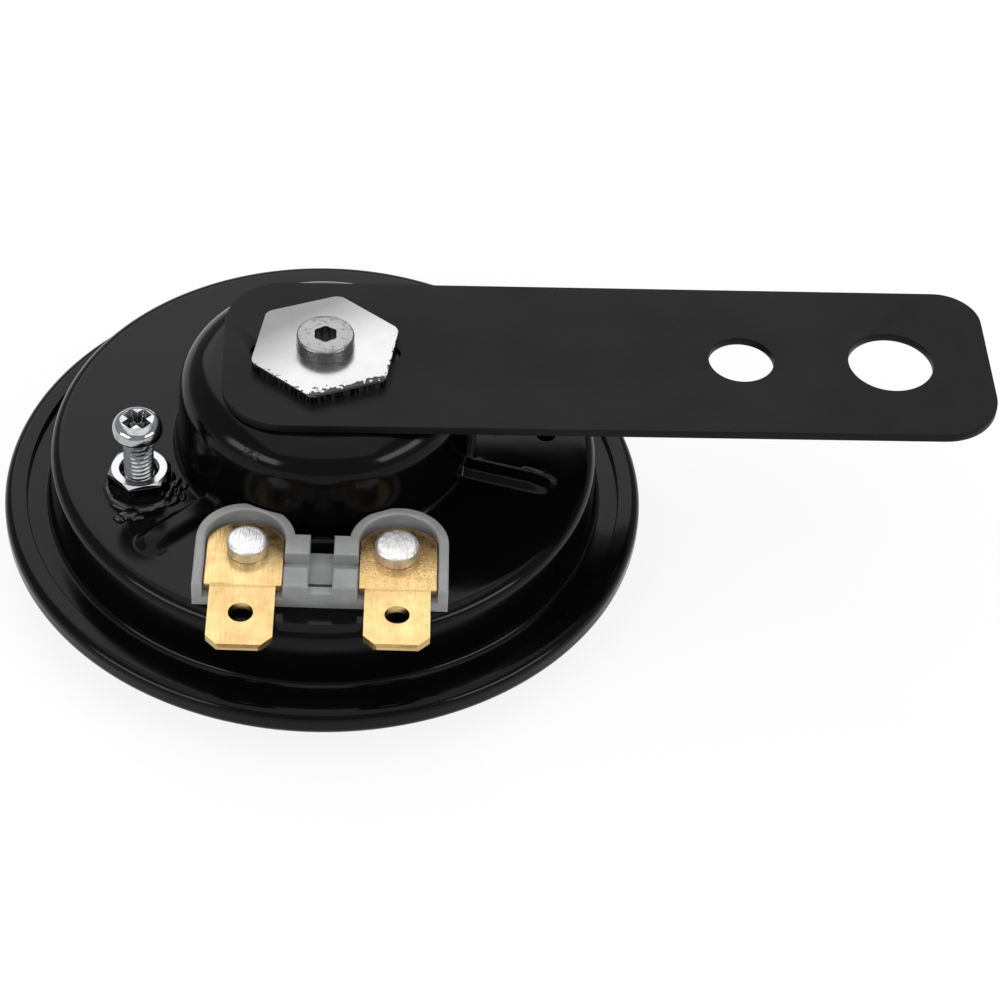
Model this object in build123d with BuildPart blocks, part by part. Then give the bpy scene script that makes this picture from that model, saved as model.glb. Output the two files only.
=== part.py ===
from build123d import *
import math
import os

# A small round electric horn, lying on its front cover, in millimetres.
# The origin is on the horn's axis, in the plane of the front cover's flat faces.
# +Z points to the rear of the horn, +X along the mounting bracket,
# and the two spade terminals point to -Y.

# Rolled rim and front cover
rim_d = 65.0
lip_w = 2.3
rim_round = 1.0
cover_t = 0.6
front_depth = 3.6
dish_inset = 4.1
dish_slope_w = 3.4
rest_ring_w = 3.5
grille_rise = 1.2
grille_slope_w = 2.0
centre_flat_r = 5.0
cover_round = 1.2
slot_count = 16
slot_w = 1.8
slot_land = 1.4

# Clamped stack under the lip
gasket_t = 0.25
diaphragm_t = 0.3
bead_h = 0.6
bead_w = 4.0
bead_inset = 4.5
stack_clearance = 0.6

# Rear housing, pressed from one sheet
housing_t = 0.8
flange_w = 4.7
wall_lean = 0.3
wall_h = 6.8
wall_foot_round = 0.7
shoulder_round = 1.3
boss_r = 14.3
boss_lean = 0.5
boss_h = 10.4
boss_round = 3.8
boss_foot_round = 0.8
rib_w = 3.4
rib_crest_w = 1.3
rib_h = 0.95
rib_edge_inset = 2.9
rib_edge_round = 0.35
rib_count = 3
rib_start_angle = -17.0
pip_r = 1.2
pip_h = 0.5
vent_r = 1.0
vent_inset = 5.3
vent_angle = 2.0

# Mounting bracket, a flat strip
bracket_t = 0.9
bracket_w = 21.4
bracket_tail = 10.0
bracket_reach = 66.3
bracket_tail_round = 6.0
bracket_end_round = 4.5
small_hole_r = 3.25
small_hole_x = 41.3
large_hole_r = 4.25
large_hole_x = 56.3
pip_x = 6.1

# Pole core and the thin nut that clamps the bracket
stud_r = 2.85
stud_proud = 1.45
stud_chamfer = 0.2
core_r = 4.5
core_len = 6.7
socket_r = 1.2
socket_lobe_r = 0.36
socket_lobes = 6
socket_depth = 1.6
clamp_nut_t = 1.0
clamp_nut_flats = 13.4
clamp_nut_corner = 1.0
clamp_nut_angle = 20.0
thread_clearance = 0.02
hole_clearance = 0.1

# Coil, held in the boss by the cover plate
bobbin_flange_t = 1.0
bobbin_wall = 0.7
bobbin_clearance = 0.4
winding_inset = 0.2
cover_plate_t = 1.0
cover_plate_land = 2.4
insulator_gap = 0.6

# Armature, riveted through the middle of the diaphragm
air_gap = 0.6
armature_stem_r = 2.0
armature_flange_r = 7.5
armature_flange_t = 1.2
armature_head_r = 3.0
armature_head_h = 0.9
washer_r = 8.0
washer_t = 0.8
lift_gap = 0.35

# Adjusting screw and its lock nut
screw_boss_gap = 4.85
screw_angle = 202.3
screw_r = 1.5
screw_head_r = 2.45
screw_head_h = 2.0
screw_head_round = 0.8
screw_stand = 6.9
recess_r = 1.35
recess_w = 0.7
recess_depth = 1.0
lock_nut_flats = 5.5
lock_nut_h = 2.4
lock_nut_angle = 14.0
lock_nut_chamfer_angle = 30.0
collar_wall = 0.9
collar_h = 1.4

# Contact breaker, two strips riveted to a lug of the cover plate
strip_w = 5.0
strip_end_round = 1.5
lug_margin = 0.5
anchor_len = 7.0
anchor_wall_gap = 1.0
breaker_rivet_r = 0.9
breaker_rivet_pitch = 3.4
breaker_head_r = 1.6
breaker_head_h = 0.7
breaker_top_head_h = 0.5
upper_insulator_t = 0.6
lower_insulator_t = 0.5
leaf_t = 0.3
contact_r = 1.5
contact_h = 1.0
contact_arm_t = 0.7
contact_reach = 6.65
strip_overhang = 2.6
tongue_w = 4.0
tongue_lap = 1.3

# Terminal block, seen from the rear with its open side towards -Y
terminal_boss_gap = 3.6
terminal_skew = -1.5
block_w = 24.4
block_front = 5.7
block_floor_t = 1.1
block_h = 2.9
block_wall = 0.95
block_round = 0.25
cup_spacing = 14.8
cup_y = 0.7
block_boss_gap = 0.05
ledge_back = 1.4
ledge_len = 2.65
channel_len = 1.8
channel_floor_t = 1.4
bridge_gap_w = 2.3
bridge_floor_back = 0.55
bridge_slot_back = 3.6
notch_wall_t = 0.95
notch_wall_h = 1.9
front_relief = 0.1
spigot_r = 2.4

# Spade terminals and the rivets that hold them
spade_t = 0.8
spade_side_gap = 0.16
spade_back_gap = 0.85
spade_plate_front = 4.75
spade_plate_arc_r = 4.4
spade_w = 6.3
spade_len = 7.65
spade_root = 0.3
spade_tip_chamfer = 1.3
spade_tip_bevel = 0.25
spade_hole_r = 1.2
spade_hole_back = 4.25
spade_bend = {"left": 2.5, "right": -2.5}
rivet_spacing = 14.4
rivet_r = 1.4
rivet_head_r = {"left": 1.98, "right": 2.15}
rivet_head_h = 1.5
rivet_head_round = 0.25
rivet_tail_r = 2.0
rivet_tail_h = 0.8
inner_insulator_t = 0.8
inner_insulator_w = 21.0
inner_insulator_d = 6.4
tag_t = 0.5
tag_r = 2.2
tag_len = 5.2
tag_tail_w = 2.2

# Radii and heights worked out from the sizes above
rim_r = rim_d / 2
stack_r = rim_r - cover_t - stack_clearance
wall_base_r = rim_r - flange_w
wall_r = wall_base_r - wall_lean
boss_base_r = boss_r + boss_lean
drum_inside_r = wall_r - housing_t
dish_r = rim_r - dish_inset
rest_outer_r = dish_r - dish_slope_w
rest_inner_r = rest_outer_r - rest_ring_w
grille_r = rest_inner_r - grille_slope_w
front_gasket_z = front_depth + cover_t
diaphragm_z = front_gasket_z + gasket_t
rear_gasket_z = diaphragm_z + diaphragm_t
flange_under_z = rear_gasket_z + gasket_t
flange_z = flange_under_z + housing_t
shoulder_z = flange_z + wall_h
shoulder_under_z = shoulder_z - housing_t
boss_z = shoulder_z + boss_h
boss_under_z = boss_z - housing_t
bracket_z = boss_z + bracket_t
clamp_nut_z = bracket_z + clamp_nut_t
stud_z = clamp_nut_z + stud_proud
pole_face_z = boss_under_z - core_len
cover_plate_z = shoulder_under_z - cover_plate_t
leaf_z = cover_plate_z - upper_insulator_t - leaf_t
contact_arm_z = leaf_z - 2 * contact_h - contact_arm_t
lower_insulator_z = contact_arm_z - lower_insulator_t
washer_top_z = rear_gasket_z + washer_t

# Places on the shoulder
screw_axis_r = boss_base_r + screw_boss_gap
screw_x = screw_axis_r * math.cos(math.radians(screw_angle))
screw_y = screw_axis_r * math.sin(math.radians(screw_angle))
terminal_y = -boss_base_r - terminal_boss_gap
skew = math.radians(terminal_skew)
terminal_plane = Plane(
    origin=(0, terminal_y, shoulder_z),
    x_dir=(math.cos(skew), math.sin(skew), 0),
    z_dir=(0, 0, 1),
)
rivet_places = {"left": (-rivet_spacing / 2, 0), "right": (rivet_spacing / 2, 0)}

# Places of the contact breaker
lug_w = strip_w + 2 * lug_margin
lug_outer_x = abs(screw_x) + lug_w / 2
anchor_end_y = math.sqrt((drum_inside_r - anchor_wall_gap) ** 2 - lug_outer_x**2)
anchor_y = anchor_end_y - anchor_len
contact_y = screw_y + contact_reach
breaker_rivet_places = [
    (screw_x, (anchor_y + anchor_end_y + side * breaker_rivet_pitch) / 2) for side in (-1, 1)
]

os.makedirs("parts", exist_ok=True)


def finish(builder, name):
    """Label a finished piece and write it to its own STEP file."""
    builder.part.label = name
    export_step(builder.part, f"parts/{name}.step")


def ring(outer_r, inner_r, low_z, height):
    """A flat ring on the horn's axis."""
    with BuildPart() as made:
        with BuildSketch(Plane.XY.offset(low_z)):
            Circle(outer_r)
            Circle(inner_r, mode=Mode.SUBTRACT)
        extrude(amount=height)
    return made


def strip(places, low_z, height, width=strip_w):
    """A straight strip along Y through the adjusting screw's place, from one y to another."""
    start_y, end_y = places
    with BuildSketch(Plane.XY.offset(low_z)) as outline:
        with Locations((screw_x, (start_y + end_y) / 2)):
            Rectangle(width, end_y - start_y)
    extrude(outline.sketch, amount=height)


def rivet_holes(places, radius):
    """Holes for rivets that run along Z, cut right through the piece being built."""
    with BuildSketch(Plane.XY) as outline:
        with Locations(*places):
            Circle(radius)
    extrude(outline.sketch, amount=stud_z, mode=Mode.SUBTRACT)


# Rear housing: flange, drum wall, shoulder and the cup-shaped boss over the coil
with BuildPart() as rear_housing:
    with BuildSketch(Plane.XZ):
        with BuildLine():
            FilletPolyline(
                (0, boss_z),
                (boss_r, boss_z),
                (boss_base_r, shoulder_z),
                (wall_r, shoulder_z),
                (wall_base_r, flange_z),
                (stack_r, flange_z),
                radius=[boss_round, boss_foot_round, shoulder_round, wall_foot_round],
            )
            offset(amount=housing_t, side=Side.RIGHT)
        make_face()
    revolve(axis=Axis.Z)

    # Pressed ribs stand out of the shoulder and are hollow underneath
    rib_len = wall_r - rib_edge_inset - boss_base_r
    rib_middle = boss_base_r + rib_len / 2
    for rib in range(rib_count):
        turn = math.radians(rib_start_angle + rib * 360 / rib_count)
        for depth, mode in ((0, Mode.ADD), (housing_t, Mode.SUBTRACT)):
            deck = Plane(
                origin=(0, 0, shoulder_z - depth),
                x_dir=(math.cos(turn), math.sin(turn), 0),
                z_dir=(0, 0, 1),
            )
            with BuildSketch(deck):
                with Locations((rib_middle, 0)):
                    SlotOverall(rib_len - depth, rib_w - depth)
            with BuildSketch(deck.offset(rib_h)):
                with Locations((rib_middle, 0)):
                    SlotOverall(rib_len - depth + rib_crest_w - rib_w, rib_crest_w)
            loft(mode=mode)
    crest_z = shoulder_z + rib_h
    fillet(rear_housing.edges().filter_by_position(Axis.Z, crest_z, crest_z), rib_edge_round)

    # Locating pips on the boss, which keep the bracket from turning
    with BuildSketch(Plane.XY.offset(boss_z)):
        with Locations((-pip_x, 0), (pip_x, 0)):
            Circle(pip_r)
    extrude(amount=pip_h)

    # Drawn collar that carries the adjusting screw's thread
    with BuildSketch(Plane.XY.offset(shoulder_under_z)):
        with Locations((screw_x, screw_y)):
            Circle(screw_r + collar_wall)
    extrude(amount=-collar_h)

    # Holes for the adjusting screw, the pole core, the vent and the block's spigots
    with BuildSketch(Plane.XY.offset(shoulder_under_z - collar_h)):
        with Locations((screw_x, screw_y)):
            Circle(screw_r + thread_clearance)
        with PolarLocations(wall_base_r - vent_inset, 1, start_angle=vent_angle):
            Circle(vent_r)
    extrude(amount=collar_h + housing_t, mode=Mode.SUBTRACT)
    with BuildSketch(Plane.XY.offset(boss_under_z)):
        Circle(stud_r + hole_clearance)
    extrude(amount=housing_t, mode=Mode.SUBTRACT)
    with BuildSketch(terminal_plane):
        with Locations(*rivet_places.values()):
            Circle(spigot_r + hole_clearance)
    extrude(amount=-housing_t, mode=Mode.SUBTRACT)
finish(rear_housing, "rear_housing")

# Front cover: dished face with sound slots, its edge rolled over the whole stack
with BuildPart() as front_cover:
    with BuildSketch(Plane.XZ):
        with BuildLine():
            FilletPolyline(
                (rim_r - lip_w, flange_z + cover_t),
                (rim_r, flange_z + cover_t),
                (rim_r, front_depth),
                (dish_r, front_depth),
                (rest_outer_r, 0),
                (rest_inner_r, 0),
                (grille_r, grille_rise),
                (centre_flat_r + grille_slope_w, grille_rise),
                (centre_flat_r, 0),
                (0, 0),
                radius=[rim_round] * 2 + [cover_round] * 6,
            )
            offset(amount=cover_t, side=Side.RIGHT)
        make_face()
    revolve(axis=Axis.Z)

    # Sound slots through the raised ring of the face
    slot_inner_r = centre_flat_r + grille_slope_w + slot_land
    slot_len = grille_r - slot_land - slot_inner_r
    with BuildSketch(Plane.XY):
        with PolarLocations(slot_inner_r + slot_len / 2, slot_count):
            SlotOverall(slot_len, slot_w)
    extrude(amount=grille_rise + 2 * cover_t, mode=Mode.SUBTRACT)
finish(front_cover, "front_cover")

# Gaskets on both sides of the diaphragm's edge
finish(ring(stack_r, wall_base_r, front_gasket_z, gasket_t), "front_gasket")
finish(ring(stack_r, wall_base_r, rear_gasket_z, gasket_t), "rear_gasket")

# Diaphragm: thin spring sheet with one rolled bead
with BuildPart() as diaphragm:
    bead_outer_r = wall_base_r - bead_inset
    with BuildSketch(Plane.XZ):
        with BuildLine():
            FilletPolyline(
                (armature_stem_r, rear_gasket_z),
                (bead_outer_r - bead_w, rear_gasket_z),
                (bead_outer_r - bead_w / 2, rear_gasket_z + bead_h),
                (bead_outer_r, rear_gasket_z),
                (stack_r, rear_gasket_z),
                radius=[bead_w / 4] * 3,
            )
            offset(amount=diaphragm_t, side=Side.RIGHT)
        make_face()
    revolve(axis=Axis.Z)
finish(diaphragm, "diaphragm")

# Mounting bracket: flat strip with rounded corners, two bolt holes and two locating holes
with BuildPart() as mounting_bracket:
    with BuildSketch(Plane.XY.offset(boss_z)) as strip_outline:
        with Locations(((bracket_reach - bracket_tail) / 2, 0)):
            Rectangle(bracket_reach + bracket_tail, bracket_w)
        fillet(strip_outline.vertices().group_by(Axis.X)[0], bracket_tail_round)
        fillet(strip_outline.vertices().group_by(Axis.X)[-1], bracket_end_round)
        Circle(stud_r + hole_clearance, mode=Mode.SUBTRACT)
        with Locations((small_hole_x, 0)):
            Circle(small_hole_r, mode=Mode.SUBTRACT)
        with Locations((large_hole_x, 0)):
            Circle(large_hole_r, mode=Mode.SUBTRACT)
        with Locations((-pip_x, 0), (pip_x, 0)):
            Circle(pip_r + hole_clearance, mode=Mode.SUBTRACT)
    extrude(amount=bracket_t)
finish(mounting_bracket, "mounting_bracket")

# Thin hexagonal nut that clamps the bracket to the boss
with BuildPart() as bracket_nut:
    with BuildSketch(Plane.XY.offset(bracket_z)) as nut_outline:
        RegularPolygon(
            clamp_nut_flats / 2, 6, major_radius=False, rotation=clamp_nut_angle
        )
        fillet(nut_outline.vertices(), clamp_nut_corner)
        Circle(stud_r + thread_clearance, mode=Mode.SUBTRACT)
    extrude(amount=clamp_nut_t)
finish(bracket_nut, "bracket_nut")

# Pole core: its stud stands through boss, bracket and nut, with a six-lobe socket
with BuildPart() as pole_core:
    with BuildSketch(Plane.XY.offset(pole_face_z)):
        Circle(core_r)
    extrude(amount=core_len)
    with BuildSketch(Plane.XY.offset(boss_under_z)):
        Circle(stud_r)
    extrude(amount=stud_z - boss_under_z)
    chamfer(pole_core.edges().group_by(Axis.Z)[-1], stud_chamfer)
    with BuildSketch(Plane.XY.offset(stud_z)):
        Circle(socket_r - socket_lobe_r)
        with PolarLocations(socket_r - socket_lobe_r, socket_lobes):
            Circle(socket_lobe_r)
    extrude(amount=-socket_depth, mode=Mode.SUBTRACT)
finish(pole_core, "pole_core")

# Coil bobbin: the rear flange is chamfered to sit in the boss's rounded corner
bobbin_bore_r = core_r + bobbin_clearance
bobbin_tube_r = bobbin_bore_r + bobbin_wall
bobbin_front_r = boss_r - housing_t - bobbin_clearance
bobbin_rear_seat_r = boss_r - boss_round
bobbin_rear_r = bobbin_rear_seat_r + bobbin_flange_t
with BuildPart() as coil_bobbin:
    with BuildSketch(Plane.XZ):
        with BuildLine():
            Polyline(
                (bobbin_bore_r, shoulder_under_z),
                (bobbin_front_r, shoulder_under_z),
                (bobbin_front_r, shoulder_under_z + bobbin_flange_t),
                (bobbin_tube_r, shoulder_under_z + bobbin_flange_t),
                (bobbin_tube_r, boss_under_z - bobbin_flange_t),
                (bobbin_rear_r, boss_under_z - bobbin_flange_t),
                (bobbin_rear_seat_r, boss_under_z),
                (bobbin_bore_r, boss_under_z),
                close=True,
            )
        make_face()
    revolve(axis=Axis.Z)
finish(coil_bobbin, "coil_bobbin")

# Enamelled copper winding between the bobbin's flanges
coil_winding = ring(
    bobbin_rear_r - winding_inset,
    bobbin_tube_r,
    shoulder_under_z + bobbin_flange_t,
    boss_under_z - shoulder_under_z - 2 * bobbin_flange_t,
)
finish(coil_winding, "coil_winding")

# Coil cover plate: lies under the shoulder, with a lug for the contact breaker
with BuildPart() as coil_cover_plate:
    plate_r = boss_base_r - housing_t + cover_plate_land
    plate_flat_y = terminal_y + inner_insulator_d / 2 + insulator_gap
    with BuildSketch(Plane.XY.offset(cover_plate_z)):
        Circle(plate_r)
        with Locations(((-lug_outer_x - core_r) / 2, (anchor_y + anchor_end_y) / 2)):
            Rectangle(lug_outer_x - core_r, anchor_len)
        with Locations((0, plate_flat_y - plate_r)):
            Rectangle(2 * plate_r, 2 * plate_r, mode=Mode.SUBTRACT)
        Circle(bobbin_bore_r, mode=Mode.SUBTRACT)
    extrude(amount=cover_plate_t)
    rivet_holes(breaker_rivet_places, breaker_rivet_r + thread_clearance)
    with BuildSketch(Plane.XY.offset(shoulder_under_z)):
        with Locations(*breaker_rivet_places):
            Circle(breaker_head_r + thread_clearance)
    extrude(amount=-breaker_top_head_h, mode=Mode.SUBTRACT)
finish(coil_cover_plate, "coil_cover_plate")

# Armature: plunger, lifting flange and the stem riveted over the front washer
stem_head_z = diaphragm_z - washer_t
with BuildPart() as armature:
    with BuildSketch(Plane.XY.offset(washer_top_z)):
        Circle(core_r)
    extrude(amount=pole_face_z - air_gap - washer_top_z)
    with BuildSketch(Plane.XY.offset(leaf_z - lift_gap)):
        Circle(armature_flange_r)
    extrude(amount=-armature_flange_t)
    with BuildSketch(Plane.XY.offset(stem_head_z)):
        Circle(armature_stem_r)
    extrude(amount=washer_top_z - stem_head_z)
    with BuildSketch(Plane.XY.offset(stem_head_z)):
        Circle(armature_head_r)
    extrude(amount=-armature_head_h)
    fillet(armature.edges().group_by(Axis.Z)[0], armature_head_h / 2)
finish(armature, "armature")
finish(ring(washer_r, armature_stem_r, rear_gasket_z, washer_t), "armature_washer_rear")
finish(ring(washer_r, armature_stem_r, stem_head_z, washer_t), "armature_washer_front")

# Adjusting screw: pan head, cross recess and a shank down to the contact arm
screw_head_z = shoulder_z + screw_stand
with BuildPart() as adjusting_screw:
    with BuildSketch(Plane.XY.offset(contact_arm_z + contact_arm_t)):
        with Locations((screw_x, screw_y)):
            Circle(screw_r)
    extrude(amount=screw_head_z - contact_arm_z - contact_arm_t)
    with BuildSketch(Plane.XY.offset(screw_head_z)):
        with Locations((screw_x, screw_y)):
            Circle(screw_head_r)
    extrude(amount=screw_head_h)
    fillet(adjusting_screw.edges().group_by(Axis.Z)[-1], screw_head_round)
    with BuildSketch(Plane.XY.offset(screw_head_z + screw_head_h)):
        with Locations((screw_x, screw_y)):
            Rectangle(2 * recess_r, recess_w)
            Rectangle(recess_w, 2 * recess_r)
    extrude(amount=-recess_depth, mode=Mode.SUBTRACT)
finish(adjusting_screw, "adjusting_screw")

# Lock nut: hexagon with its upper corners turned off
with BuildPart() as adjuster_lock_nut:
    with BuildSketch(Plane.XY.offset(shoulder_z)):
        with Locations((screw_x, screw_y)):
            RegularPolygon(
                lock_nut_flats / 2, 6, major_radius=False, rotation=lock_nut_angle
            )
    extrude(amount=lock_nut_h)
    chamfer_spread = lock_nut_h / math.tan(math.radians(lock_nut_chamfer_angle))
    with Locations((screw_x, screw_y, shoulder_z)):
        Cone(
            lock_nut_flats / 2 + chamfer_spread,
            lock_nut_flats / 2,
            lock_nut_h,
            align=(Align.CENTER, Align.CENTER, Align.MIN),
            mode=Mode.INTERSECT,
        )
    with BuildSketch(Plane.XY.offset(shoulder_z)):
        with Locations((screw_x, screw_y)):
            Circle(screw_r + thread_clearance)
    extrude(amount=lock_nut_h, mode=Mode.SUBTRACT)
finish(adjuster_lock_nut, "adjuster_lock_nut")

# Contact breaker: the leaf's tongue lies over the armature's flange
with BuildPart() as breaker_spring:
    strip((contact_y - strip_overhang, anchor_end_y), leaf_z, leaf_t)
    fillet(breaker_spring.edges().filter_by(Axis.Z).group_by(Axis.Y)[0], strip_end_round)
    tongue_tip_x = tongue_lap - armature_flange_r
    with BuildSketch(Plane.XY.offset(leaf_z)) as tongue:
        with Locations(((screw_x + tongue_tip_x) / 2, contact_y)):
            Rectangle(tongue_tip_x - screw_x, tongue_w)
        fillet(tongue.vertices().group_by(Axis.X)[-1], strip_end_round)
    extrude(amount=leaf_t)
    rivet_holes(breaker_rivet_places, breaker_rivet_r + thread_clearance)
finish(breaker_spring, "breaker_spring")

with BuildPart() as contact_arm:
    strip((screw_y - strip_overhang, anchor_end_y), contact_arm_z, contact_arm_t)
    fillet(contact_arm.edges().filter_by(Axis.Z).group_by(Axis.Y)[0], strip_end_round)
    rivet_holes(breaker_rivet_places, breaker_rivet_r + thread_clearance)
finish(contact_arm, "contact_arm")

for name, low_z in (
    ("fixed_contact", contact_arm_z + contact_arm_t),
    ("moving_contact", leaf_z - contact_h),
):
    with BuildPart() as contact:
        with BuildSketch(Plane.XY.offset(low_z)):
            with Locations((screw_x, contact_y)):
                Circle(contact_r)
        extrude(amount=contact_h)
    finish(contact, name)

# Insulating blocks above, between and below the two strips
with BuildPart() as breaker_insulators:
    for low_z, height in (
        (leaf_z + leaf_t, upper_insulator_t),
        (contact_arm_z + contact_arm_t, 2 * contact_h),
        (lower_insulator_z, lower_insulator_t),
    ):
        strip((anchor_y, anchor_end_y), low_z, height)
    rivet_holes(breaker_rivet_places, breaker_rivet_r + thread_clearance)
finish(breaker_insulators, "breaker_insulators")

with BuildPart() as breaker_rivets:
    for low_z, height, radius in (
        (lower_insulator_z, shoulder_under_z - lower_insulator_z, breaker_rivet_r),
        (shoulder_under_z - breaker_top_head_h, breaker_top_head_h, breaker_head_r),
        (lower_insulator_z - breaker_head_h, breaker_head_h, breaker_head_r),
    ):
        with BuildSketch(Plane.XY.offset(low_z)):
            with Locations(*breaker_rivet_places):
                Circle(radius)
        extrude(amount=height)
finish(breaker_rivets, "breaker_rivets")

# Terminal block: two cups for the terminals, joined by ledges round an open gap
cup_r = (block_w - cup_spacing) / 2
pocket_r = cup_r - block_wall
cup_places = [(-cup_spacing / 2, cup_y), (cup_spacing / 2, cup_y)]


def cups(radius, front_y):
    """Sketch of the two cups: a round back and straight sides down to the front."""
    with Locations(*cup_places):
        Circle(radius)
    with Locations(*[(x, (y + front_y) / 2) for x, y in cup_places]):
        Rectangle(2 * radius, cup_y - front_y)


def gap(back_y, front_y, width=bridge_gap_w):
    """Sketch of a rectangle on the block's middle line, from one y to another."""
    with Locations((0, (back_y + front_y) / 2)):
        Rectangle(width, back_y - front_y)


with BuildPart() as terminal_block:
    with BuildSketch(terminal_plane):
        cups(cup_r, -block_front)
        gap(ledge_back, -block_front, cup_spacing)
    extrude(amount=block_h)
    with BuildSketch(terminal_plane.offset(block_floor_t)):
        cups(pocket_r, -block_front)
    extrude(amount=block_h, mode=Mode.SUBTRACT)
    channel_back = ledge_back - ledge_len
    with BuildSketch(terminal_plane.offset(channel_floor_t)):
        gap(channel_back, channel_back - channel_len, cup_spacing)
    extrude(amount=block_h, mode=Mode.SUBTRACT)
    with BuildSketch(terminal_plane.offset(block_floor_t)):
        gap(ledge_back, notch_wall_t - block_front)
    extrude(amount=block_h, mode=Mode.SUBTRACT)
    with BuildSketch(terminal_plane.offset(notch_wall_h)):
        gap(ledge_back, -block_front)
    extrude(amount=block_h, mode=Mode.SUBTRACT)
    with BuildSketch(terminal_plane):
        gap(ledge_back, bridge_floor_back)
        gap(-bridge_slot_back, notch_wall_t - block_front)
    extrude(amount=block_h, mode=Mode.SUBTRACT)
    top_z = shoulder_z + block_h
    fillet(terminal_block.edges().filter_by_position(Axis.Z, top_z, top_z), block_round)

    # The cups' backs are relieved where they meet the boss and its rounded foot
    for relief_r, height in (
        (boss_base_r + block_boss_gap, block_h),
        (boss_base_r + boss_foot_round, boss_foot_round),
    ):
        with BuildSketch(Plane.XY.offset(shoulder_z)):
            Circle(relief_r)
        extrude(amount=height, mode=Mode.SUBTRACT)

    # The pocket floors drop a little at the front, where the bent tabs start
    with BuildSketch(terminal_plane.offset(block_floor_t)):
        for x, y in cup_places:
            with Locations((x, -(spade_plate_front - spade_root + block_front) / 2)):
                Rectangle(2 * pocket_r, block_front - spade_plate_front + spade_root)
    extrude(amount=-front_relief, mode=Mode.SUBTRACT)

    # Spigots centre the block in the housing and keep the rivets clear of it
    with BuildSketch(terminal_plane):
        with Locations(*rivet_places.values()):
            Circle(spigot_r)
    extrude(amount=-housing_t)
    with BuildSketch(terminal_plane.offset(-housing_t)):
        with Locations(*rivet_places.values()):
            Circle(rivet_r + thread_clearance)
    extrude(amount=housing_t + block_floor_t, mode=Mode.SUBTRACT)
finish(terminal_block, "terminal_block")


def spade_terminal(side):
    """Brass terminal: a plate with a round back in the cup and a tab bent a little at its root."""
    middle_x = cup_spacing / 2 if side == "right" else -cup_spacing / 2
    half_w = pocket_r - spade_side_gap
    plate_back = cup_y + pocket_r - spade_back_gap
    arc_rise = spade_plate_arc_r - math.sqrt(spade_plate_arc_r**2 - half_w**2)
    step = terminal_plane.from_local_coords(
        Vector(middle_x, -spade_plate_front, block_floor_t + spade_t)
    )
    tab_plane = Plane(origin=step, x_dir=terminal_plane.x_dir, z_dir=(0, 0, 1))
    tab_plane = tab_plane.rotated((spade_bend[side], 0, 0))
    with BuildPart() as made:
        with BuildSketch(terminal_plane.offset(block_floor_t)):
            with BuildLine():
                sides = Polyline(
                    (middle_x - half_w, plate_back - arc_rise),
                    (middle_x - half_w, -spade_plate_front),
                    (middle_x + half_w, -spade_plate_front),
                    (middle_x + half_w, plate_back - arc_rise),
                )
                ThreePointArc(sides @ 1, (middle_x, plate_back), sides @ 0)
            make_face()
            with Locations(rivet_places[side]):
                Circle(rivet_r + thread_clearance, mode=Mode.SUBTRACT)
        extrude(amount=spade_t)
        with BuildSketch(tab_plane) as tab:
            with Locations((0, (spade_root - spade_len) / 2)):
                Rectangle(spade_w, spade_root + spade_len)
            chamfer(tab.vertices().group_by(Axis.Y)[0], spade_tip_chamfer)
            with Locations((0, spade_hole_back - spade_len)):
                Circle(spade_hole_r, mode=Mode.SUBTRACT)
        extrude(amount=-spade_t)
        tip = made.faces().sort_by(Axis.Y)[0]
        chamfer(tip.edges().sort_by(SortBy.LENGTH)[-2:], spade_tip_bevel)
    return made


for side in ("left", "right"):
    finish(spade_terminal(side), f"terminal_{side}")


def terminal_rivet(side):
    """Aluminium rivet: cylindrical head on the terminal and a tail closed on the inner tag."""
    tail_depth = housing_t + inner_insulator_t + tag_t
    seat = block_floor_t + spade_t
    with BuildPart() as made:
        for low, height, radius in (
            (seat, rivet_head_h, rivet_head_r[side]),
            (-tail_depth, tail_depth + seat, rivet_r),
            (-tail_depth - rivet_tail_h, rivet_tail_h, rivet_tail_r),
        ):
            with BuildSketch(terminal_plane.offset(low)):
                with Locations(rivet_places[side]):
                    Circle(radius)
            extrude(amount=height)
        fillet(made.edges().group_by(Axis.Z)[-1], rivet_head_round)
    return made


for side in ("left", "right"):
    finish(terminal_rivet(side), f"terminal_rivet_{side}")

# Insulating strip under the shoulder, with a solder tag under each rivet
with BuildPart() as inner_insulator:
    with BuildSketch(terminal_plane.offset(-housing_t)):
        Rectangle(inner_insulator_w, inner_insulator_d)
        with Locations(*rivet_places.values()):
            Circle(rivet_r + thread_clearance, mode=Mode.SUBTRACT)
    extrude(amount=-inner_insulator_t)
finish(inner_insulator, "inner_insulator")

for side, outward in (("left", -1), ("right", 1)):
    place_x, place_y = rivet_places[side]
    with BuildPart() as solder_tag:
        with BuildSketch(terminal_plane.offset(-housing_t - inner_insulator_t)):
            with Locations((place_x, place_y)):
                Circle(tag_r)
            with Locations((place_x + outward * tag_len / 2, place_y)):
                Rectangle(tag_len, tag_tail_w)
            with Locations((place_x, place_y)):
                Circle(rivet_r + thread_clearance, mode=Mode.SUBTRACT)
        extrude(amount=-tag_t)
    finish(solder_tag, f"solder_tag_{side}")
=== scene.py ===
# A small round electric horn with its bracket, seen from the rear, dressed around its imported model.
import math

import bmesh
import bpy
from bpy.props import FloatProperty, IntProperty, PointerProperty, StringProperty
from bpy.types import Operator, Panel, PropertyGroup
from mathutils import Matrix, Vector


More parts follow.
